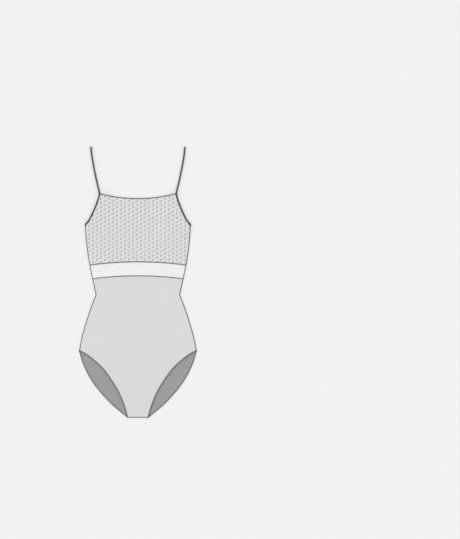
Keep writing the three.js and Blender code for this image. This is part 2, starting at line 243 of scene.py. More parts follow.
# Corner points and edge points up the side of a panel, each stretch cut where it meets the next.
def panelSide(foot, stretches, top):
    chain = [longer(line) for line in (foot, *stretches, top)]
    meets = [crossing(a, b) for a, b in zip(chain[:-1], chain[1:])]
    pieces = []
    for start, end, line in zip(meets[:-1], meets[1:], chain[1:-1]):
        inner = line[start[2]:end[1]]
        room = np.min([np.linalg.norm(inner - corner[0], axis=1) for corner in (start, end)], axis=0)
        far = room > garment["cornerRoom"]
        piece = evenSteps(np.vstack([start[0], inner[far], end[0]]), garment["gridStep"])
        pieces.append(piece[1:] if pieces else piece)
    return np.vstack(pieces)


# Plan grid of a panel: x is a share of the side's half at that row, and y is the side's height, bent
# towards the foot edge or the top edge by how far up the side the row is.
def panelGrid(foot, stretches, top):
    side = panelSide(foot, stretches, top)
    up = (walked(side) / walked(side)[-1])[:, None]
    columns = round(side[:, 0].max() / garment["gridStep"]) * 2
    share = np.linspace(-1, 1, columns + 1)[None]
    footBend = np.interp(abs(share) * side[0, 0], foot[:, 0], foot[:, 1]) - side[0, 1]
    topBend = np.interp(abs(share) * side[-1, 0], top[:, 0], top[:, 1]) - side[-1, 1]
    return share * side[:, :1], side[:, 1:] + (1 - up) * footBend + up * topBend


# A part is its points (in millimetres), its faces, a map for its pattern and a material number. Its
# faces are turned round if they enclose a negative volume.
def closedPart(points, faces, mapping, material=0):
    volume = 0.0
    for group in faces:
        corners = points[group]
        fans = np.cross(corners[:, 1:-1], corners[:, 2:])
        volume += (corners[:, :1] * fans).sum()
    if volume < 0:
        faces = [group[:, ::-1] for group in faces]
    return {"points": points, "faces": faces, "mapping": mapping,
            "material": [np.full(len(group), material) for group in faces]}


def mirrored(part):
    faces = [group[:, ::-1] for group in part["faces"]]
    return {**part, "points": part["points"] * (-1, 1, 1), "faces": faces}


# Quads between neighbouring rows and columns of a grid whose points are numbered row by row.
def gridQuads(rows, columns, closed=False):
    number = np.arange(rows * columns).reshape(rows, columns)
    if closed:
        number = np.hstack([number, number[:, :1]])
    ring = (number[:-1, :-1], number[:-1, 1:], number[1:, 1:], number[1:, :-1])
    return np.stack(ring, axis=-1).reshape(-1, 4)


# The two end faces of a tube whose rings have the given number of corners.
def tubeCaps(stations, corners):
    return np.stack([np.arange(corners)[::-1], np.arange(corners) + (stations - 1) * corners])


# A thin shell: the grid once at its lower height and once at its upper height, joined round the rim.
def shellPart(x, y, lower, upper):
    rows, columns = x.shape
    count = rows * columns
    points = np.vstack([np.stack([x, y, z], axis=-1).reshape(-1, 3) for z in (lower, upper)])
    quads = gridQuads(rows, columns)
    number = np.arange(count).reshape(rows, columns)
    rim = np.concatenate([number[0], number[1:, -1], number[-1, -2::-1], number[-2:0:-1, 0]])
    after = np.roll(rim, -1)
    wall = np.stack([rim, after, after + count, rim + count], axis=1)
    return closedPart(points, [quads[:, ::-1], quads + count, wall], points[:, :2] * mm)


# A profile carried along a path: point = middle + across times a + up times b, at every station.
def sweptPart(middle, across, up, a, b, material=0):
    stations, corners = a.shape
    points = middle[:, None] + across[:, None] * a[..., None] + up[:, None] * b[..., None]
    along = walked(middle)[:, None] + 0 * a
    mapping = np.stack([along, a], axis=-1).reshape(-1, 2) * mm
    faces = [gridQuads(stations, corners, closed=True), tubeCaps(stations, corners)]
    return closedPart(points.reshape(-1, 3), faces, mapping, material)


# Upward directions at each station of a path, square to the travel and to the direction across.
def pathUp(middle, across):
    up = np.cross(across, np.gradient(middle, axis=0))
    return up / np.linalg.norm(up, axis=1)[:, None]


# Round thread: a circle carried along a path, turned so that its sides stay square to the travel.
def threadPart(path, facing, radius, sides=5, material=1):
    travel = np.gradient(path, axis=0)
    travel /= np.linalg.norm(travel, axis=1)[:, None]
    side = np.cross(travel, facing)
    side /= np.linalg.norm(side, axis=1)[:, None]
    angle = np.linspace(0, fullTurn, sides, endpoint=False)
    a, b = (np.tile(radius * wave(angle), (len(path), 1)) for wave in (np.cos, np.sin))
    return sweptPart(path, side, np.cross(side, travel), a, b, material)


# Zigzag of stitches on a tape: it runs along the middle path and swings from side to side, pausing a
# little at each turn, at the given height over the middle. The wave is a triangle with its tips cut off.
def zigzagPart(middle, across, up, swing, pitch, height, radius, shift=0.0, steep=1.25, pointsPerTurn=4):
    along = walked(middle)
    turns = max(2, round(2 * along[-1] / pitch))
    phase = np.linspace(0, turns, turns * pointsPerTurn + 1)
    places = phase / turns * along[-1]
    wave = np.clip(steep * (2 * abs((phase % 2) - 1) - 1), -1, 1) * swing
    ones = np.ones(len(middle))
    wave += np.interp(places, along, shift * ones)
    centre, side, over = (resampled(v, middle, places) for v in (middle, across, up))
    lift = np.interp(places, along, height * ones)
    return threadPart(centre + side * wave[:, None] + over * lift[:, None], over, radius)


sharpAngle = math.radians(50)


# Puts the parts into one mesh object, with the place in the mesh, in metres.
def makePiece(name, parts, materials, slot, *replaced):
    offsets = np.cumsum([0] + [len(part["points"]) for part in parts])
    points = np.vstack([part["points"] for part in parts])
    points = (points - (0, garment["length"] / 2, 0)) * mm
    groups = [group + start for part, start in zip(parts, offsets) for group in part["faces"]]
    numbers = np.concatenate([number for part in parts for number in part["material"]])
    mapping = np.vstack([part["mapping"] for part in parts])
    mesh = bpy.data.meshes.new(name)
    mesh.from_pydata(points.tolist(), [], [face for group in groups for face in group.tolist()])
    corners = np.empty(len(mesh.loops), np.int32)
    mesh.loops.foreach_get("vertex_index", corners)
    clothMap = mesh.uv_layers.new(name="clothMap")
    clothMap.data.foreach_set("uv", mapping[corners].astype(np.float32).ravel())
    mesh.polygons.foreach_set("material_index", numbers.astype(np.int32))
    mesh.polygons.foreach_set("use_smooth", np.ones(len(mesh.polygons), bool))
    for material in materials:
        mesh.materials.append(finishes[material])
    mesh.set_sharp_from_angle(angle=sharpAngle)
    mesh.validate()
    piece = bpy.data.objects.new(name, mesh)
    bpy.context.scene.collection.objects.link(piece)
    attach(piece, "root")
    if replaced:
        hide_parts(*replaced)


def addNode(tree, kind, inputs=(), **settings):
    node = tree.nodes.new("ShaderNode" + kind)
    for key, value in settings.items():
        setattr(node, key, value)
    for socket, value in zip(node.inputs, inputs):
        if isinstance(value, bpy.types.NodeSocket):
            tree.links.new(value, socket)
        else:
            socket.default_value = value
    return node


# A number that a material works out at every place.
class Field:
    def __init__(self, tree, socket):
        self.tree, self.socket = tree, socket

    def math(self, operation, *others):
        inputs = [self.socket] + [other.socket if isinstance(other, Field) else other for other in others]
        return Field(self.tree, addNode(self.tree, "Math", inputs, operation=operation).outputs[0])

    def ramp(self, low, high, lowTo=0.0, highTo=1.0):
        inputs = (self.socket, low, high, lowTo, highTo)
        node = addNode(self.tree, "MapRange", inputs, interpolation_type="SMOOTHSTEP")
        return Field(self.tree, node.outputs[0])


# Sums, products and the like of fields are math nodes.
fieldMath = {
    "__add__": "ADD", "__sub__": "SUBTRACT", "__mul__": "MULTIPLY", "__truediv__": "DIVIDE",
    "__pow__": "POWER", "__abs__": "ABSOLUTE", "fract": "FRACT", "sine": "SINE",
}
for method, operation in fieldMath.items():
    setattr(Field, method, partialmethod(Field.math, operation))

# What all finishes share, unless one says otherwise. Drift is the slow change of tone that dyed yarn
# has, by a noise between the two levels, and its size is in millimetres. Warmth takes away a share of
# the blue. Painted shade is the share of the relief that shows in the tone, darkening its hollows, and
# what is added to it.
plainFinish = {
    "specular": 0.25,
    "sheenRoughness": 0.6,
    "bump": 0.6,
    "warmth": 0.0,
    "noiseLevels": (0.3, 0.7),
    "noiseDetail": 3,
    "source": "Object",
}
finishes = {}


# A new material, the place that its patterns read, and the first two numbers of that place.
def startMaterial(name, spec):
    material = bpy.data.materials.new(name)
    material.use_nodes = True
    tree = material.node_tree
    sockets = {"Roughness": spec["roughness"], "Specular IOR Level": spec["specular"],
               "Sheen Weight": spec["sheen"], "Sheen Roughness": spec["sheenRoughness"]}
    for socket, value in sockets.items():
        tree.nodes["Principled BSDF"].inputs[socket].default_value = value
    place = tree.nodes.new("ShaderNodeTexCoord").outputs[spec["source"]]
    split = addNode(tree, "SeparateXYZ", (place,))
    return material, place, Field(tree, split.outputs[0]), Field(tree, split.outputs[1])


# Colours a material its grey times the drift and the painted shade, which is darker in the relief's
# hollows, and adds the relief as bump and the cover as holes.
def finishMaterial(material, place, spec, relief=None, cover=None):
    tree = material.node_tree
    shader = tree.nodes["Principled BSDF"]
    noise = tree.nodes.new("ShaderNodeTexNoise")
    tree.links.new(place, noise.inputs["Vector"])
    noise.inputs["Scale"].default_value = 1 / (spec["driftSize"] * mm)
    noise.inputs["Detail"].default_value = spec["noiseDetail"]
    driftAndPaintedShade = Field(tree, noise.outputs["Fac"]).ramp(*spec["noiseLevels"], 1 - spec["drift"], 1 + spec["drift"])
    if relief:
        share, ground = spec["driftAndPaintedShade"]
        # Painted shade: the tone is darker where the relief is low, in the hollows of the cloth and yarn.
        driftAndPaintedShade = driftAndPaintedShade * (relief * share + ground)
        bump = tree.nodes.new("ShaderNodeBump")
        bump.inputs["Strength"].default_value = spec["bump"]
        bump.inputs["Distance"].default_value = spec["depth"] * mm
        tree.links.new(relief.socket, bump.inputs["Height"])
        tree.links.new(bump.outputs["Normal"], shader.inputs["Normal"])
    if cover:
        tree.links.new(cover.socket, shader.inputs["Alpha"])
    tone, blue = spec["tone"], spec["tone"] * (1 - spec["warmth"])
    # Colour A is met where drift times painted shade is 0, and colour B where it is 1.
    mix = addNode(tree, "Mix", (driftAndPaintedShade.socket,), data_type="RGBA")
    mix.inputs[6].default_value = (0, 0, 0, 1)  # colour A, at no shade
    mix.inputs[7].default_value = (tone, tone, blue, 1)  # colour B, at a shade of 1
    tree.links.new(mix.outputs[2], shader.inputs["Base Color"])
    return material


def addFinishes(make, shared, specs):
    for name, spec in specs.items():
        finishes[name] = make(name, {**plainFinish, **shared, **spec})


# Knit: columns of V stitches. Across a column each leg is an arch to a power, and along it the
# stitches follow a sine that is pushed up by the distance from the column's middle, and whose crests
# are at 1.
def knitRelief(x, y, column, course, slant, archPower=0.6, swing=0.3):
    out = abs((x / (column * mm)).fract() - 0.5)
    arch = abs((out * fullTurn).sine())
    stitch = ((y / (course * mm) + out * (2 * slant)) * fullTurn).sine() * swing + (1 - swing)
    return arch ** archPower * stitch


# The hollows between stitches are painted darker, as shade, by the given share. The tone is that of the
# whole knit, so the yarn is lighter by half of that painted shade.
def knitMaterial(name, spec):
    material, place, x, y = startMaterial(name, spec)
    relief = knitRelief(x, y, spec["column"], spec["course"], spec["slant"])
    paintedHollowShade = spec["paintedHollowShade"]
    yarn = {**spec, "tone": spec["tone"] / (1 - paintedHollowShade / 2), "driftAndPaintedShade": (paintedHollowShade, 1 - paintedHollowShade)}
    return finishMaterial(material, place, yarn, relief)


addFinishes(knitMaterial, {"roughness": 0.82, "driftSize": 45, "slant": 0.9, "depth": 0.16}, {
    "jersey_outer": {"tone": 0.64, "column": 0.8, "course": 0.62, "paintedHollowShade": 0.16,
                     "sheen": 0.12, "drift": 0.012},
    # The inner face is the same jersey seen from its back: its knit is real, its dark tone painted shade.
    "jersey_inner": {"tone": 0.30, "column": 0.62, "course": 0.8, "paintedHollowShade": 0.2,
                     "sheen": 0.15, "drift": 0.015, "warmth": 0.027},
    "lining_jersey": {"tone": 0.66, "column": 0.62, "course": 0.5, "paintedHollowShade": 0.14,
                      "sheen": 0.1, "drift": 0.01, "depth": 0.1},
})


# Distance to the nearest hole of a knitted mesh: the holes are two lattices, one shifted by half a
# cell. A cell is twice as tall as wide, and the distance along it is taken as a little less than that.
def holeDistance(x, y, pitch, tall=2.0, tallShown=1.6):
    def lattice(shift):
        across = ((x * (1 / (pitch * mm)) + shift).fract() - 0.5) * pitch
        along = ((y * (1 / (pitch * tall * mm)) + shift).fract() - 0.5) * (pitch * tallShown)
        return (across * across + along * along).math("SQRT")

    return lattice(0.0).math("MINIMUM", lattice(0.5))


# Stretch mesh: the ground rises from each hole's edge, and has small knit loops on it.
def meshMaterial(name, spec):
    material, place, x, y = startMaterial(name, spec)
    pitch, (inner, outer) = spec["pitch"], (spec["hole"] * share for share in spec["holeEdge"])
    away = holeDistance(x, y, pitch)
    loops = knitRelief(x, y, pitch / 2, pitch * spec["course"], spec["slant"])
    relief = loops * spec["loops"] + away.ramp(inner, pitch * spec["round"])
    return finishMaterial(material, place, spec, relief, away.ramp(inner, outer))


addFinishes(meshMaterial, {
    "roughness": 0.7, "sheen": 0.1, "drift": 0.01, "driftSize": 40, "driftAndPaintedShade": (0.12, 0.88), "depth": 0.2,
    "pitch": 1.3, "holeEdge": (0.85, 1.1), "round": 0.6, "loops": 0.45, "course": 0.4, "slant": 0.6,
}, {
    "front_mesh_knit": {"tone": 0.775, "hole": 0.26},
    "back_mesh_knit": {"tone": 0.93, "hole": 0.22},
})


# Square net: threads along both ways at a fixed pitch, round in section, with holes between, whose
# outline is |a|^3 + |b|^3 = 1.
def netMaterial(name, spec):
    material, place, x, y = startMaterial(name, spec)
    edge = 1 - spec["thread"]
    across, along = (abs((value / (spec["pitch"] * mm)).fract() - 0.5) * 2.0 for value in (x, y))
    hole = (across / edge) ** 3.0 + (along / edge) ** 3.0
    relief = across.ramp(edge, 1.0) + along.ramp(edge, 1.0)
    return finishMaterial(material, place, spec, relief, hole.ramp(*spec["holeEdge"]))


addFinishes(netMaterial, {}, {
    "band_net": {"roughness": 0.6, "sheen": 0.05, "drift": 0.008, "driftSize": 30, "driftAndPaintedShade": (0.05, 0.94),
                 "depth": 0.16, "tone": 0.93, "pitch": 1.066, "thread": 0.7, "holeEdge": (0.8, 1.2)},
})


# Elastic: ribs along the tape, each crossed by fine weft, from the map's length and width.
def elasticMaterial(name, spec):
    material, place, along, across = startMaterial(name, spec)
    rib = (across * (fullTurn / (spec["rib"] * mm))).sine()
    weft = (along * (fullTurn / (spec["weft"] * mm))).sine()
    return finishMaterial(material, place, spec, rib * spec["ribHeight"] + 0.5 + weft * spec["weftHeight"])


addFinishes(elasticMaterial, {
    "roughness": 0.75, "driftSize": 12, "driftAndPaintedShade": (0.3, 0.85), "depth": 0.12, "source": "UV",
    "ribHeight": 0.35, "weftHeight": 0.15,
}, {
    "charcoal_elastic": {"tone": 0.058, "rib": 0.72, "weft": 0.45, "sheen": 0.06, "drift": 0.05},
    "grey_elastic": {"tone": 0.19, "rib": 0.6, "weft": 0.4, "sheen": 0.06, "drift": 0.04},
    "seam_edge": {"tone": 0.12, "rib": 0.6, "weft": 0.4, "sheen": 0.04, "drift": 0.04},
})


# Thread: two plies twisted together, as slanted bands round the thread.
def threadMaterial(name, spec):
    material, place, along, across = startMaterial(name, spec)
    ply = ((along / (spec["twist"] * mm) + across / (spec["ply"] * mm)) * fullTurn).sine()
    return finishMaterial(material, place, spec, ply)


addFinishes(threadMaterial, {
    "roughness": 0.55, "drift": 0.05, "driftSize": 5, "driftAndPaintedShade": (0.08, 0.95), "depth": 0.05, "source": "UV",
    "ply": 0.5,
}, {
    "charcoal_thread": {"tone": 0.085, "twist": 0.9, "sheen": 0.05},
    "grey_thread": {"tone": 0.22, "twist": 0.9, "sheen": 0.05},
    "seam_thread": {"tone": 0.15, "twist": 0.9, "sheen": 0.04},
    "band_net_cord": {"tone": 0.74, "twist": 0.8, "sheen": 0.05},
    "front_float_yarn": {"tone": 0.385, "twist": 1.4, "sheen": 0.08},
    "back_float_yarn": {"tone": 0.58, "twist": 1.4, "sheen": 0.08},
})
charcoalTape = (["charcoal_elastic", "charcoal_thread"], "charcoal_elastic")  # materials and slot
greyTape = (["grey_elastic", "grey_thread"], "grey_elastic")
seamThreads = (["seam_edge", "seam_thread"], "grey_elastic")
print("stage: materials made")

# Cloth heights in millimetres, over the front's base or over the surface
cloth = {
    "briefThick": 0.75,
    "liningThick": 0.6,
    "meshThick": 0.26,
    "netThick": 0.16,
    "rest": 0.12,  # height of the lowest cloth over what it lies on
    "dip": 0.6,  # share of that height that a swell may sink
    "meshRest": 0.36,  # height of the back mesh, whose floats are under it
    "netRest": 0.3,  # height of the back net, whose cords are under it
    "bandRest": 0.45,  # height of the front net over the base at its edges
    "bandSag": 0.25,  # and how far it sags, between which distances from them
    "sagReach": (2, 14),
    "meshGap": 0.1,  # between the lining and the mesh at their edges
    "meshLoft": 0.25,  # and how much more there is further in
    "edgeReach": (2.6, 9.0),  # distances from a tape between which the cloth comes down from its slot
    "seamLift": 0.26,  # how far a seam that the back brief lies on lifts it, and out to which distance
    "seamReach": (1.5, 7.0),
    "seamTuck": 0.2,  # how far inside the side line the cloth ends
    "inSlot": 1.2,  # how far a cloth's edge goes into its tape, past the tape's own edge
    "neckShort": 0.3,  # how much less of that there is at the front neckline
}

# Soft swells of handled cloth: wave length, direction and start of each, and the distances from the
# panels' edges over which they grow
swells = {
    "waves": [(88, 0.35, 0.4), (61, 1.3, 2.1), (117, 2.2, 4.0), (46, 2.75, 1.2)],
    "height": 0.22,
    "reach": (4, 45),
}

# Small gathers beside an elastic. Their height and their spacing drift slowly along it.
gathers = {
    "height": 0.26,
    "onArmhole": 0.35,  # share of the height beside the armholes
    "onBack": 0.8,  # and on the back
    "spacing": 8.6,
    "flat": 1.5,  # distance from the line up to which they keep their height
    "fade": 9.0,
    "start": (0.5, 4),
    "heightDrift": (0.25, 31.0),
    "spacingDrift": (1.6, 23.0),
}
frontEdges = ("frontLeg", "side", "armhole", "neckline", "frontTop", "frontFoot")


# 0 beside the given lines and 1 further out, growing between the two distances.
def awayFrom(x, y, names, reach):
    return smoothstep(distanceTo(x, y, *names), *reach)


# Mean of a few long sines in different directions, flattened towards the panels' edges.
def swellHeight(x, y):
    waves = [np.sin(fullTurn * (x * math.cos(direction) + y * math.sin(direction)) / length + start)
             for length, direction, start in swells["waves"]]
    return swells["height"] * np.mean(waves, axis=0) * awayFrom(x, y, frontEdges, swells["reach"])


# A sine along the line that dies out with distance from it.
def gatherHeight(x, y, name, scale=1.0):
    distance, along = nearest(lines[name], x, y)
    (heightAmount, heightRun), (spacingAmount, spacingRun) = gathers["heightDrift"], gathers["spacingDrift"]
    height = scale * gathers["height"] * (1 + heightAmount * np.sin(along / heightRun))
    wave = np.sin(fullTurn * along / gathers["spacing"] + spacingAmount * np.sin(along / spacingRun))
    away = np.exp(-np.maximum(0, distance - gathers["flat"]) / gathers["fade"])
    return height * wave * away * smoothstep(distance, *gathers["start"])


# Height of a cloth over what it lies on: its rest, and beside a tape the slot, which is at the middle
# of the tape's height.
def slotLift(x, y, tapeTop, thick, names, rest=cloth["rest"]):
    return rest + ((tapeTop - thick) / 2 - rest) * (1 - awayFrom(x, y, names, cloth["edgeReach"]))


# Heights of the front cloths. Each lies on the front's base and rises into the slot of its tape.
def briefFrontLower(x, y):
    lift = slotLift(x, y, tapes["leg"]["thick"], cloth["briefThick"], ["frontLeg"])
    wave = swellHeight(x, y) + gatherHeight(x, y, "frontLeg")
    return frontBase(x, y) + lift + np.maximum(wave, -cloth["dip"] * cloth["rest"])


def liningLower(x, y):
    stack = cloth["liningThick"] + cloth["meshThick"] + cloth["meshGap"]
    lift = slotLift(x, y, tapes["armhole"]["thick"], stack, ["armhole", "neckline"])
    return frontBase(x, y) + lift + np.maximum(swellHeight(x, y), -cloth["dip"] * cloth["rest"])


def bodiceLower(x, y):
    free = awayFrom(x, y, ["armhole", "neckline", "side", "frontTop"], cloth["edgeReach"])
    apart = cloth["liningThick"] + cloth["meshGap"] + cloth["meshLoft"] * free
    return liningLower(x, y) + apart + gatherHeight(x, y, "armhole", gathers["onArmhole"]) * free


def frontBandLower(x, y):
    sag = cloth["bandSag"] * awayFrom(x, y, frontEdges, cloth["sagReach"])
    return frontBase(x, y) + cloth["bandRest"] - sag


# Heights of the back cloths, which lie on the surface and rise into the slots of their tapes.
def backLower(x, y, line, tape, thick, rest):
    lift = slotLift(x, y, tapes[tape]["thick"] + stitchRoom, thick, [line], rest)
    return lift + np.maximum(0, gatherHeight(x, y, line, gathers["onBack"]))


def backBodiceLower(x, y):
    return backLower(x, y, "backNeck", "backNeck", cloth["meshThick"], cloth["meshRest"])


def backBandLower(x, y):
    return np.full_like(x, cloth["netRest"])


# The back brief also lies on the threads of the seams round it.
def backBriefLower(x, y):
    near = 1 - awayFrom(x, y, ["side", "backFoot", "crotch"], cloth["seamReach"])
    free = backLower(x, y, "backLeg", "leg", cloth["briefThick"], cloth["rest"])
    return np.maximum(free, cloth["rest"] + cloth["seamLift"] * near)


# Width and length of a panel's plan, and its area from each cell's diagonals, in metres.
def planSize(x, y):
    a = np.stack([x[1:, 1:] - x[:-1, :-1], y[1:, 1:] - y[:-1, :-1]])
    b = np.stack([x[1:, :-1] - x[:-1, 1:], y[1:, :-1] - y[:-1, 1:]])
    area = abs(a[0] * b[1] - a[1] * b[0]).sum() / 2 * mm * mm
    return (float(np.ptp(x) * mm), float(np.ptp(y) * mm)), float(area)


# Edge of a cloth in the slot of its tape. The cloth is on the left of a line's travel, or on the right.
def inTape(name, tape, side=-1, short=0.0):
    return movedRight(lines[name], side * (tapes[tape]["width"] / 2 - cloth["inSlot"] + short))


clothEdges = {
    **lines,
    "rib": movedRight(lines["rib"], -cloth["seamTuck"]),
    "hip": movedRight(lines["hip"], -cloth["seamTuck"]),
    "armhole": inTape("armhole", "armhole"),
    "frontLeg": inTape("frontLeg", "leg"),
    "backLeg": inTape("backLeg", "leg"),
    "neckline": inTape("neckline", "neck", 1, cloth["neckShort"]),
    "backNeck": inTape("backNeck", "backNeck", 1),
}

# Edges are the foot, the lines up the side and the top. Of two materials, the first is the upper
# face's and the second the lower's.
panels = {
    "front_bodice": {
        "edges": ("frontTop", ["rib", "armhole"], "neckline"), "lower": bodiceLower,
        "thick": cloth["meshThick"], "materials": ["front_mesh_knit"], "slot": "mesh",
        "rests": ["front_lining_cloth"],
    },
    "front_lining": {
        "edges": ("frontTop", ["rib", "armhole"], "neckline"), "lower": liningLower,
        "thick": cloth["liningThick"], "materials": ["lining_jersey"], "slot": "lining",
        "rests": ["back_bodice_cloth", "floor"],
    },
    "front_band": {
        "edges": ("frontFoot", ["rib"], "frontTop"), "lower": frontBandLower, "thick": cloth["netThick"],
        "materials": ["band_net"], "slot": "net", "rests": ["back_band_cloth"],
    },
    "front_brief": {
        "edges": ("crotch", ["frontLeg", "hip", "rib"], "frontFoot"), "lower": briefFrontLower,
        "thick": cloth["briefThick"], "materials": ["jersey_outer", "jersey_inner"], "slot": "jersey",
        "rests": ["back_brief_cloth"],
    },
    "back_bodice": {
        "edges": ("backTop", ["rib"], "backNeck"), "lower": backBodiceLower, "thick": cloth["meshThick"],
        "materials": ["back_mesh_knit"], "slot": "back_mesh", "rests": ["floor"],
    },
    "back_band": {
        "edges": ("backFoot", ["rib"], "backTop"), "lower": backBandLower, "thick": cloth["netThick"],
        "materials": ["band_net"], "slot": "net", "rests": ["floor"],
    },
    "back_brief": {
        "edges": ("crotch", ["backLeg", "hip", "rib"], "backFoot"), "lower": backBriefLower,
        "thick": cloth["briefThick"], "materials": ["jersey_inner", "jersey_outer"], "slot": "jersey",
        "rests": ["floor"],
    },
}


def panelEdges(node):
    foot, sides, top = panels[node]["edges"]
    return clothEdges[foot], [clothEdges[name] for name in sides], clothEdges[top]


for node, panel in panels.items():
    x, y = panelGrid(*panelEdges(node))
    lower = panel["lower"](x, y)
    part = shellPart(x, y, lower, lower + panel["thick"])
    part["material"][0][:] = len(panel["materials"]) - 1  # the lower face's
    makePiece(node + "_cloth", [part], panel["materials"], panel["slot"], node)
    planSize(x, y)
print("stage: cloth panels made")


# A circle pressed towards a square: a is the cosine and b the sine of the angle, each raised to the
# power with its sign kept.
def squaredCircle(angle, power):
    return (np.sign(wave) * np.abs(wave) ** power for wave in (np.cos(angle), np.sin(angle)))


tapeFold = {
    "lipAngle": 148,  # degrees from the nose, over the top and under the bottom
    "points": 33,
    "lip": 0.9,  # share of the half width where the slot starts
    "nose": 0.7,  # from the slot's tip to the nose
    "corner": 0.3,  # from the slot's corners to its tip
}


# Profile of a folded tape: a rounded outline from one lip over the top, the nose and the underside to
# the other lip, then the slot between the lips. The outline is |a/(w/2)|^4 + |b/(t/2)|^4 = 1.
def tapeProfile(width, thick, slot):
    lipAngle = math.radians(tapeFold["lipAngle"])
    a, b = squaredCircle(np.linspace(lipAngle, -lipAngle, tapeFold["points"]), 0.5)
    width, thick, slot = (values[:, None] for values in (width, thick, slot))
    lip, tip = -width / 2 * tapeFold["lip"], width / 2 - tapeFold["nose"]
    corner = tip - tapeFold["corner"]
    slotA = np.hstack([lip, corner, tip, corner, lip])
    slotB = np.hstack([-slot / 2, -slot / 2, 0 * slot, slot / 2, slot / 2])
    return np.hstack([a * width / 2, slotA]), np.hstack([b * thick / 2, slotB])


# Plain rounded strip: |a/(w/2)|^3 + |b/(t/2)|^3 = 1.
def stripProfile(width, thick, stations, corners=20):
    a, b = squaredCircle(np.linspace(0, fullTurn, corners, endpoint=False), 2 / 3)
    width, thick = ((size * np.ones(stations))[:, None] for size in (width, thick))
    return a * width / 2, b * thick / 2


# The whole line from the right end to the left end of the garment.
def wholeLine(line):
    return np.vstack([line[:0:-1] * (-1, 1), line])


def flat3(line, z):
    return np.column_stack([line, np.broadcast_to(z, len(line))])


def levelAcross(line):
    return np.column_stack([rightOf(line), np.zeros(len(line))])


# The end stations of a path cut along a given plan direction, keeping the tape's width: the direction
# is divided by its share across the path.
def cutEnd(across, station, direction):
    direction = unit(np.asarray(direction))
    across[station, :2] = direction / (direction @ across[station, :2])
    return across


# Sink is how far a thread sits in what it lies on, and short is how far inside the side line a flat
# seam ends. Rows is how far from its middle the straight rows are.
stitching = {
    "tape": {"swing": 0.55, "pitch": 2.6, "radius": 0.16, "sink": 0.03, "inset": 1.15},
    "flatlock": {"width": 2.7, "swing": 1.0, "pitch": 1.5, "radius": 0.17, "sink": 0.04,
                 "rows": 0.85, "rowRadius": 0.136, "rowProud": 0.1, "short": 1.2},
    "overedge": {"width": 2.7, "crotchWidth": 2.4, "pitch": 1.3, "radius": 0.16, "pointsPerTurn": 12,
                 "corners": 24, "low": 0.05, "cover": 0.32},
    "tack": {"length": 2.6, "pitch": 0.62, "radius": 0.17, "points": 7, "inset": 0.35, "sink": 0.02},
}
sideFoot = lines["hip"][0] - lines["hip"][1]  # direction of the side line, down at the leg
sideHead = lines["rib"][-1] - lines["rib"][-2]  # and up at the underarm
endProud = 0.01  # how far the leg and back neck tapes go past their lines


# Tape along a path, with its slot on the side against the direction across, and a zigzag row on both
# faces beside its open edge. Width, thickness and slot are the tape's own unless they are given.
def tapeParts(middle, across, tape, **given):
    sizes = {**tape, **given}
    width, thick, slot = (sizes[name] * np.ones(len(middle)) for name in ("width", "thick", "slot"))
    up = pathUp(middle, across)
    if up[0, 2] < 0:
        up = -up
    spec = stitching["tape"]
    lift, shift = thick / 2 - spec["sink"], spec["inset"] - width / 2
    rows = [zigzagPart(middle, across, up, spec["swing"], spec["pitch"], side * lift, spec["radius"], shift)
            for side in (1, -1)]
    return [sweptPart(middle, across, up, *tapeProfile(width, thick, slot)), *rows]


# The parts as they are on the left, and mirrored on the right.
def bothSides(name, parts, materials, slot, replacing=True):
    for side, kept in (("left", parts), ("right", [mirrored(part) for part in parts])):
        replaced = [name + side] if replacing else []
        makePiece(name + side + "_sewn", kept, materials, slot, *replaced)


# Overedge seam: a rounded strip from low to high round the layers' edges, with thread wound round it.
# The thread is middle + across cos + up sin, with both raised to 2/3 so that it keeps to the strip.
def overedgeParts(line, high, width, pitch=stitching["overedge"]["pitch"]):
    spec = stitching["overedge"]
    low, radius = spec["low"], spec["radius"]
    middle = flat3(line, (low + high) / 2)
    across = levelAcross(line)
    up = np.tile((0.0, 0.0, 1.0), (len(line), 1))
    wide, tall = width - 2 * radius, high - low - 2 * radius
    a, b = stripProfile(wide, tall, len(line), spec["corners"])
    along = walked(middle)
    turns = round(along[-1] / pitch)
    angle = np.linspace(0, fullTurn * turns, turns * spec["pointsPerTurn"] + 1)
    places = angle / angle[-1] * along[-1]
    centre, level, over = (resampled(v, middle, places) for v in (middle, across, up))
    wide, tall = (np.interp(places, along, v * np.ones(len(line)) / 2) for v in (wide, tall))
    cosine, sine = squaredCircle(angle, 2 / 3)
    path = centre + level * (cosine * wide)[:, None] + over * (sine * tall)[:, None]
    facing = level * np.cos(angle)[:, None] + over * np.sin(angle)[:, None]
    return [sweptPart(middle, across, up, a, b), threadPart(path, facing, radius, sides=4)]


def addLegElastics():
    leg = tapes["leg"]
    line = longer(lines["frontLeg"], endProud)
    middle = flat3(line, frontBase(*line.T) + leg["thick"] / 2)
    across = cutEnd(cutEnd(levelAcross(line), 0, (1, 0)), -1, -sideFoot)
    bothSides("leg_elastic_front_", tapeParts(middle, across, leg), *greyTape)
    line = longer(lines["backLeg"], endProud)
    middle = flat3(line, (leg["thick"] + stitchRoom) / 2)
    across = cutEnd(levelAcross(line), 0, (1, 0))
    parts = tapeParts(middle, across, leg, thick=leg["thick"] - stitchRoom)
    bothSides("leg_elastic_back_", parts, *greyTape)


# How deep the neck binding's ends go into the straps' slots, and how thin they are there
neckEnds = {"depth": 2.4, "reach": 3.5, "thick": 1.3, "slot": 0.5}


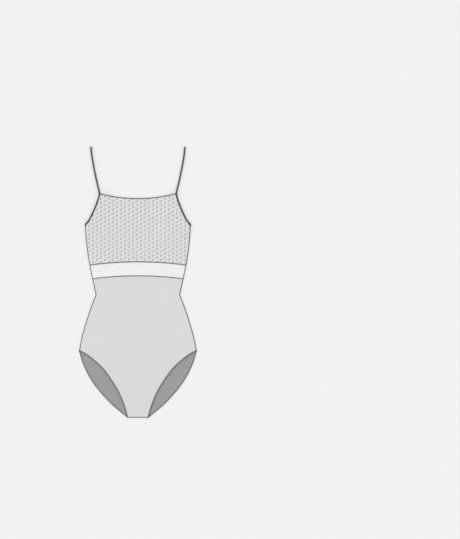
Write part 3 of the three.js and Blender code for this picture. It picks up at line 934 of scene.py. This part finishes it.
def addNeckBindings():
    neck, depth = tapes["neck"], neckEnds["depth"]
    armEdge = movedRight(lines["armhole"], depth - tapes["armhole"]["width"] / 2)
    end, count, _ = crossing(longer(lines["neckline"]), longer(armEdge))
    line = wholeLine(np.vstack([lines["neckline"][:count - 1], end]))
    ends = np.minimum(walked(line), walked(line)[-1] - walked(line))
    full = smoothstep(ends, depth, depth + neckEnds["reach"])
    thick = neckEnds["thick"] + (neck["thick"] - stitchRoom - neckEnds["thick"]) * full
    slot = neckEnds["slot"] + (neck["slot"] - neckEnds["slot"]) * full
    middle = flat3(line, frontBase(*line.T) + (neck["thick"] + stitchRoom) / 2)
    parts = tapeParts(middle, -levelAcross(line), neck, thick=thick, slot=slot)
    makePiece("front_neck_binding_tape", parts, *greyTape, "front_neck_binding")
    back = tapes["backNeck"]
    half = longer(lines["backNeck"], endProud)
    half[0, 0] = 0
    line = wholeLine(half)
    middle = flat3(line, (back["thick"] + stitchRoom) / 2)
    across = cutEnd(cutEnd(-levelAcross(line), -1, sideHead), 0, sideHead * (-1, 1))
    parts = tapeParts(middle, across, back, thick=back["thick"] - stitchRoom)
    makePiece("back_neck_binding_tape", parts, *charcoalTape, "back_neck_binding")


# Bar tack: close satin stitches across a strap, over a short stretch of its path.
def tackPart(middle, across, thick, place, side):
    tack = stitching["tack"]
    places = place + np.linspace(-0.5, 0.5, tack["points"]) * tack["length"]
    centre, level, over = (resampled(v, middle, places) for v in (middle, across, pathUp(middle, across)))
    lift = side * (np.interp(place, walked(middle), thick) / 2 - tack["sink"])
    swing = tapes["strap"]["width"] / 2 - tack["inset"]
    return zigzagPart(centre, level, over, swing, tack["pitch"], lift, tack["radius"])


strapForm = {
    "foldRadius": 1.4,
    "foldSteps": 14,
    "opening": 32.0,  # length below the fold over which the two legs part
    "bindingEnd": (-1, 10),  # heights over the neckline's corner, where the binding becomes the strap
    "tuckLength": 3.4,  # how far the lower end goes on into the back binding
    "tuckReach": (2.0, 9.0),  # lengths between which it thickens again
    "tuckThin": 0.25,
    "tackPlace": 3.6,  # from the lower end
    "wrap": (-3.6, 3.4),  # the thread round the underarm, below and above the end of the side line
    "wrapPoints": 9,
    "wrapWidth": 3.3,
    "wrapPitch": 0.75,
}


# The strap tape runs up the armhole on the front's base, on up as the upper leg, round a half circle
# at the fold, and down again on the surface as the lower leg, whose end goes into the back binding.
def addStraps():
    strap, arm, form = tapes["strap"], tapes["armhole"], strapForm
    thick, radius, fold = strap["thick"], form["foldRadius"], lines["strap"][-1]
    upper = np.vstack([lines["armhole"], lines["strap"][1:]])
    lower = np.vstack([longer(lines["strapUnder"], form["tuckLength"])[:-1], lines["strap"]])
    angle = np.linspace(0, math.pi, form["foldSteps"] + 1)[1:-1, None]
    foldPlan = fold + unit(fold - lines["strap"][-2]) * radius * np.sin(angle)
    foldZ = (thick + stitchRoom) / 2 + radius + (radius - stitchRoom / 2) * np.cos(angle[:, 0])
    heights = upper[:, 1]
    bindingFoot, bindingTop = form["bindingEnd"]
    bound = 1 - smoothstep(heights, neckHeight + bindingFoot, neckHeight + bindingTop)
    upperThick = thick + (arm["thick"] - thick) * bound
    opening = (2 * radius - thick - garment["gap"]) * smoothstep(heights, fold[1] - form["opening"], fold[1])
    lowerThick = thick - stitchRoom - form["tuckThin"] * (1 - smoothstep(walked(lower), *form["tuckReach"]))
    middle = np.vstack([flat3(upper, frontBase(*upper.T) + upperThick / 2 + opening), flat3(foldPlan, foldZ),
                        flat3(lower, (thick + stitchRoom) / 2)[::-1]])
    lowerAcross = levelAcross(lower)[::-1]
    across = np.vstack([levelAcross(upper), np.repeat(lowerAcross[:1], len(foldPlan), axis=0), lowerAcross])
    cutEnd(across, 0, sideHead)
    thicks = np.concatenate([upperThick, np.full(len(foldPlan), thick - stitchRoom), lowerThick[::-1]])
    bound = np.concatenate([bound, np.zeros(len(foldPlan) + len(lower))])
    width, slot = (strap[name] + (arm[name] - strap[name]) * bound for name in ("width", "slot"))
    parts = tapeParts(middle, across, strap, thick=thicks, slot=slot, width=width)
    end = walked(middle)[-1] - form["tackPlace"]
    parts.append(tackPart(middle, across, thicks, walked(lines["armhole"])[-1], 1))
    parts += [tackPart(middle, across, thicks + form["tuckThin"], end, side) for side in (1, -1)]
    wrap = lines["rib"][-1] + unit(sideHead) * np.linspace(*form["wrap"], form["wrapPoints"])[:, None]
    high = frontBase(*wrap.T).max() + arm["thick"] + stitching["overedge"]["cover"]
    parts += overedgeParts(wrap, high, form["wrapWidth"], form["wrapPitch"])
    bothSides("strap_", parts, *charcoalTape)


# Line, height of the middle over the base or the surface, thickness, and side of the outer face
flatSeams = {
    "front_band_top_seam": ("frontTop", 0.95, 1.75, 1),
    "front_band_foot_seam": ("frontFoot", 0.6, 1.15, 1),
    "back_band_top_seam": ("backTop", 0.66, 0.9, -1),
    "back_band_foot_seam": ("backFoot", 0.71, 1.0, -1),
}


# Flat seam across the body: a low rounded strip over the two cloth edges, with zigzag thread on the
# garment's outer face and a straight row of thread along each side of it.
def addBandSeam(name, lineName, centre, thick, face):
    spec = stitching["flatlock"]
    line = lines[lineName]
    end = crossing(line, movedRight(lines["rib"], -spec["short"]))[0]
    whole = wholeLine(np.vstack([line[line[:, 0] < end[0] - garment["cornerRoom"]], end]))
    middle = flat3(whole, centre + (frontBase(*whole.T) if face > 0 else 0))
    across = levelAcross(whole)
    up = pathUp(middle, across)
    lift = face * (thick / 2 - spec["sink"])
    parts = [sweptPart(middle, across, up, *stripProfile(spec["width"], thick, len(whole))),
             zigzagPart(middle, across, up, spec["swing"], spec["pitch"], lift, spec["radius"])]
    for shift in (-spec["rows"], spec["rows"]):
        row = middle + across * shift + up * (lift + face * spec["rowProud"])
        parts.append(threadPart(row, up, spec["rowRadius"]))
    makePiece(name, parts, *greyTape)


# Height of the uppermost front cloth beside the side seam, by the panel at that height.
def frontCrown(x, y):
    brief, band, bodice = (panels[node]["lower"](x, y) + panels[node]["thick"]
                           for node in ("front_brief", "front_band", "front_bodice"))
    return np.select([y < bandSeams["frontFoot"][1], y < bandSeams["frontTop"][1]], [brief, band], bodice)


edgeSeams = {
    "step": 1.6,
    "footReach": 2.4,  # how far the side seam goes past the leg end of the side line
    "headShort": 3.2,  # and how far below the underarm it stops
    "headRoom": 1.0,  # height below its end where the side line's own points stop
    "inside": 1.0,  # how far in from the side line the cloth's height is read
    "smoothing": 5,  # stations that its height is averaged over
    "legReach": (2.0, 6.0),  # heights over the leg end between which it goes down from the elastic
    "legWider": 0.9,
    "crotchReach": 2.3,  # how far the crotch seam goes past the leg lines
    "crotchTurn": (6.0, 4.6),  # distances from its ends between which it goes up to the elastics
    "crotchPoints": 45,
    "crotchHeight": 0.3,  # of its middle line over the crotch edge
}


# Side seams from the leg to the underarm, and the crotch seam from leg to leg. Both are thicker where
# they go round the elastics' ends.
def addEdgeSeams():
    spec, form, side = stitching["overedge"], edgeSeams, lines["side"][1:-1]
    foot = lines["hip"][0] + unit(sideFoot) * form["footReach"]
    head = lines["rib"][-1] - unit(sideHead) * form["headShort"]
    line = evenSteps(np.vstack([foot, side[side[:, 1] < head[1] - form["headRoom"]], head]), form["step"])
    turnFoot, turnTop = form["legReach"]
    legHeight = lines["hip"][0, 1]
    atLeg = 1 - smoothstep(line[:, 1], legHeight + turnFoot, legHeight + turnTop)
    crown = frontCrown(line[:, 0] - form["inside"], line[:, 1])
    window = form["smoothing"]
    crown = np.convolve(np.pad(crown, window // 2, mode="edge"), np.ones(window) / window, mode="valid")
    high = np.maximum(crown, frontBase(*line.T) + tapes["leg"]["thick"] * atLeg) + spec["cover"]
    parts = overedgeParts(line, high, spec["width"] + form["legWider"] * atLeg)
    bothSides("side_seam_", parts, *seamThreads, replacing=False)
    half = planRows["frontLeg"][0][1] + form["crotchReach"]
    points = form["crotchPoints"]
    line = np.column_stack([np.linspace(-half, half, points), np.full(points, form["crotchHeight"])])
    turnStart, turnEnd = form["crotchTurn"]
    atLeg = smoothstep(abs(line[:, 0]), half - turnStart, half - turnEnd)
    crown = briefFrontLower(*line.T) + cloth["briefThick"]
    high = np.maximum(crown, frontBase(*line.T) + tapes["leg"]["thick"] * atLeg) + spec["cover"]
    makePiece("crotch_seam", overedgeParts(line, high, spec["crotchWidth"]), *seamThreads)


addLegElastics()
addNeckBindings()
addStraps()
for seamName, spec in flatSeams.items():
    addBandSeam(seamName, *spec)
addEdgeSeams()
print("stage: tapes and seams made")


# Dashes of the mesh: short floats of three yarns on a staggered lattice, all slanted the same way as
# seen from outside the garment.
floats = {
    "column": 10.0,
    "row": 10.47,
    "frontStart": (-2.2, 467.05),
    "backStart": (4.0, 467.3),
    "columns": (-14, 15),
    "rows": (-10, 12),
    "length": 7.6,
    "yarnWidth": 0.86,
    "yarnStep": 0.74,
    "yarnShort": 0.3,  # how much shorter the outer two yarns are at each end
    "height": 0.34,
    "sink": 0.03,  # how far a float sits in its cloth
    "stagger": 0.42,
    "slant": 47.0,
    "stations": (-1.0, -0.7, 0.0, 0.7, 1.0),  # along a yarn, as shares of its half length
    "corners": (0, 60, 120, 180),  # round it, in degrees
    "blunt": 0.02,  # least value under the root, so that the ends aren't sharp
    "margin": 1.0,  # between a float and the panel's edge
    "checks": 21,  # places along a float where the panel's edges are looked for
    "least": 0.6,  # the shortest float that is kept, as twice its share of the length
}


# One float: three yarns side by side. Each is a half round whose width and height go by
# (1 - s^4)^0.5, where s runs from -1 to 1 along it.
def floatShape():
    s = np.array(floats["stations"])[:, None]
    taper = np.sqrt(np.maximum(floats["blunt"], 1 - s ** 4))
    turn = np.radians(floats["corners"])
    yarn = np.array([-1, 0, 1])[:, None, None]
    along = s * (floats["length"] / 2 - floats["yarnShort"] * abs(yarn)) + yarn * floats["stagger"]
    across = np.cos(turn) * floats["yarnWidth"] / 2 * taper + yarn * floats["yarnStep"]
    crown = np.sin(turn) * floats["height"] * taper
    points = np.stack(np.broadcast_arrays(along, across, crown), axis=-1).reshape(-1, 3)
    starts = np.arange(3)[:, None, None] * s.size * turn.size
    groups = (gridQuads(s.size, turn.size, closed=True), tubeCaps(s.size, turn.size))
    return points, [(group + starts).reshape(-1, 4) for group in groups]


# True where a place is further than the margin from all edges of a panel. The slope of the top edge
# makes its distance shorter than its height.
def insidePanel(x, y, node, margin):
    foot, stretches, top = panelEdges(node)
    side = panelSide(foot, stretches, top)
    half = np.interp(y, side[:, 1], side[:, 0])
    aboveFoot = y - np.interp(abs(x), foot[:, 0], foot[:, 1])
    belowTop = np.interp(abs(x), top[:, 0], top[:, 1]) - y
    slope = np.interp(abs(x), top[:-1, 0], np.diff(top[:, 1]) / np.diff(top[:, 0]))
    return (abs(x) < half - margin) & (aboveFoot > margin) & (belowTop > margin * np.sqrt(1 + slope ** 2))


# All the floats of a panel: the shape is cut to the share of its length that is inside the panel,
# turned by the slant, moved to its lattice point, and laid on the cloth's own height at every point.
def addFloats(name, node, surface, face, material, slot):
    column, row = np.meshgrid(np.arange(*floats["columns"]), np.arange(*floats["rows"]), indexing="ij")
    startX, startY = floats["frontStart" if face > 0 else "backStart"]
    x = face * (startX + floats["column"] * column).ravel()[:, None]
    y = (startY + floats["row"] * (row + 0.5 * (column % 2))).ravel()[:, None]
    slant = math.radians(floats["slant"])
    runX, runY = face * math.cos(slant), math.sin(slant)
    share = np.linspace(-1, 1, floats["checks"])[None]
    reach = floats["length"] / 2
    inside = insidePanel(x + share * reach * runX, y + share * reach * runY, node, floats["margin"])
    low = np.where(inside, share, 1).min(axis=1)[:, None]
    high = np.where(inside, share, -1).max(axis=1)[:, None]
    keep = (high - low)[:, 0] > floats["least"]
    x, y, low, high = (values[keep] for values in (x, y, low, high))
    shape, faces = floatShape()
    along = (low + high) / 2 * reach + shape[:, 0] * (high - low) / 2
    px = x + along * runX - shape[:, 1] * runY
    py = y + along * runY + shape[:, 1] * runX
    pz = surface(px, py) + face * (shape[:, 2] - floats["sink"])
    points = np.stack([px, py, pz], axis=-1).reshape(-1, 3)
    starts = (np.arange(len(x)) * len(shape))[:, None, None]
    mapping = np.tile(shape[:, :2], (len(x), 1)) * mm
    part = closedPart(points, [(group + starts).reshape(-1, 4) for group in faces], mapping)
    makePiece(name, [part], [material], slot)
    print("stage:", len(x), "floats on", node)


addFloats("front_bodice_floats", "front_bodice", lambda x, y: bodiceLower(x, y) + cloth["meshThick"], 1,
          "front_float_yarn", "mesh")
addFloats("back_bodice_floats", "back_bodice", backBodiceLower, -1, "back_float_yarn", "back_mesh")


# Heavier cords of the net, a square pane apart. They lie on the fine net's own threads, so they run
# straight across and straight up, and stop where the curved seams cut them.
netPane = {
    "pitch": 5.33,
    "radius": 0.22,
    "step": 2.5,
    "search": 0.5,  # step of the search for the panel's edges
    "across": (-120, 120.1),
    "up": (330, 395.1),
    "columns": (-23, 24),
    "rows": (-2, 11),
    "margin": 0.3,
    "least": 8,  # search steps of the shortest cord
    "sink": 0.05,
}


def addNetCords(name, node, surface):
    reach, heights = (np.arange(*netPane[way], netPane["search"]) for way in ("across", "up"))
    columns = np.arange(*netPane["columns"]) * netPane["pitch"]
    levels = garment["length"] / 2 + np.arange(*netPane["rows"]) * netPane["pitch"]
    runs = [np.column_stack([np.full(len(heights), x), heights]) for x in columns]
    runs += [np.column_stack([reach, np.full(len(reach), level)]) for level in levels]
    parts = []
    for run in runs:
        inside = insidePanel(*run.T, node, netPane["margin"])
        stretches = np.split(np.arange(len(run)), np.flatnonzero(np.diff(inside.astype(int))) + 1)
        for stretch in stretches:
            if inside[stretch[0]] and len(stretch) > netPane["least"]:
                line = evenSteps(run[stretch], netPane["step"])
                upward = np.tile((0.0, 0.0, 1.0), (len(line), 1))
                parts.append(threadPart(flat3(line, surface(*line.T)), upward, netPane["radius"], 4, 0))
    makePiece(name, parts, ["band_net_cord"], "net")


addNetCords("front_band_cords", "front_band",
            lambda x, y: frontBandLower(x, y) + cloth["netThick"] - netPane["sink"])
addNetCords("back_band_cords", "back_band", backBandLower)
print("stage: pattern yarns made")

# Pieces that are sewn to each cloth
trims = {
    "front_bodice": ["front_bodice_floats", "front_neck_binding_tape", "strap_left_sewn", "strap_right_sewn"],
    "front_lining": [],
    "front_band": ["front_band_cords", "front_band_top_seam", "front_band_foot_seam"],
    "front_brief": ["leg_elastic_front_left_sewn", "leg_elastic_front_right_sewn", "crotch_seam"],
    "back_bodice": ["back_bodice_floats", "back_neck_binding_tape"],
    "back_band": ["back_band_cords", "back_band_top_seam", "back_band_foot_seam"],
    "back_brief": ["leg_elastic_back_left_sewn", "leg_elastic_back_right_sewn",
                   "side_seam_left_sewn", "side_seam_right_sewn"],
}
for node, names in trims.items():
    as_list(panels[node]["rests"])

# Studio: a pale floor, even light from all round and one broad soft light from the upper left
studio = {
    "floorHalf": 12.0,
    "floor": {"tone": 0.8, "roughness": 0.9, "sheen": 0.0, "drift": 0.004, "driftSize": 300},
    "ambient": 0.7,
    "lightStrength": 1.426,
    "lightSpread": 50.0,
    "lightFrom": (-0.3, 0.35, 1.0),
    "lens": 200.0,
    "sensor": 36.0,
    "clipReach": 4.0,  # how far the camera sees, as a multiple of its own height
    "millimetresPerPixel": 2.5,
    "frame": (460, 539),
    "centreLine": 137.88,  # pixel column of the garment's centre line
    "crotchRow": 417.15,  # pixel row of the crotch edge
}


def floorMaterial():
    spec = {**plainFinish, **studio["floor"]}
    material, place, *_ = startMaterial("floor_paper", spec)
    return finishMaterial(material, place, spec)


def addStudio():
    scene = bpy.context.scene
    half = studio["floorHalf"]
    mesh = bpy.data.meshes.new("floor")
    square = [(-half, -half, 0), (half, -half, 0), (half, half, 0), (-half, half, 0)]
    mesh.from_pydata(square, [], [(0, 1, 2, 3)])
    floor = bpy.data.objects.new("floor", mesh)
    mesh.materials.append(floorMaterial())
    scene.collection.objects.link(floor)
    world = bpy.data.worlds.new("studio")
    world.use_nodes = True
    background = world.node_tree.nodes["Background"]
    background.inputs["Color"].default_value = (1, 1, 1, 1)
    background.inputs["Strength"].default_value = studio["ambient"]
    scene.world = world
    light = bpy.data.lights.new("softbox", "SUN")
    light.energy = studio["lightStrength"]
    light.angle = math.radians(studio["lightSpread"])
    softbox = bpy.data.objects.new("softbox", light)
    x, y, z = unit(np.array(studio["lightFrom"]))
    softbox.rotation_euler = (math.acos(z), 0, math.atan2(x, -y))
    scene.collection.objects.link(softbox)
    scene.view_settings.view_transform = "Standard"


# The camera looks straight down. Its distance makes one pixel of the frame the stated size, and it
# stands to one side, so that the garment is where the photo's front view is.
def addCamera():
    width, height = studio["frame"]
    scale = studio["millimetresPerPixel"] * mm
    camera = bpy.data.cameras.new("camera")
    camera.lens = studio["lens"]
    camera.sensor_width = studio["sensor"]
    distance = studio["lens"] / studio["sensor"] * height * scale
    camera.clip_end = distance * studio["clipReach"]
    holder = bpy.data.objects.new("camera", camera)
    holder.location = (
        (width / 2 - studio["centreLine"]) * scale,
        (studio["crotchRow"] - height / 2) * scale - garment["length"] / 2 * mm,
        distance,
    )
    bpy.context.scene.collection.objects.link(holder)
    bpy.context.scene.camera = holder


addStudio()
addCamera()
print("stage: studio made")
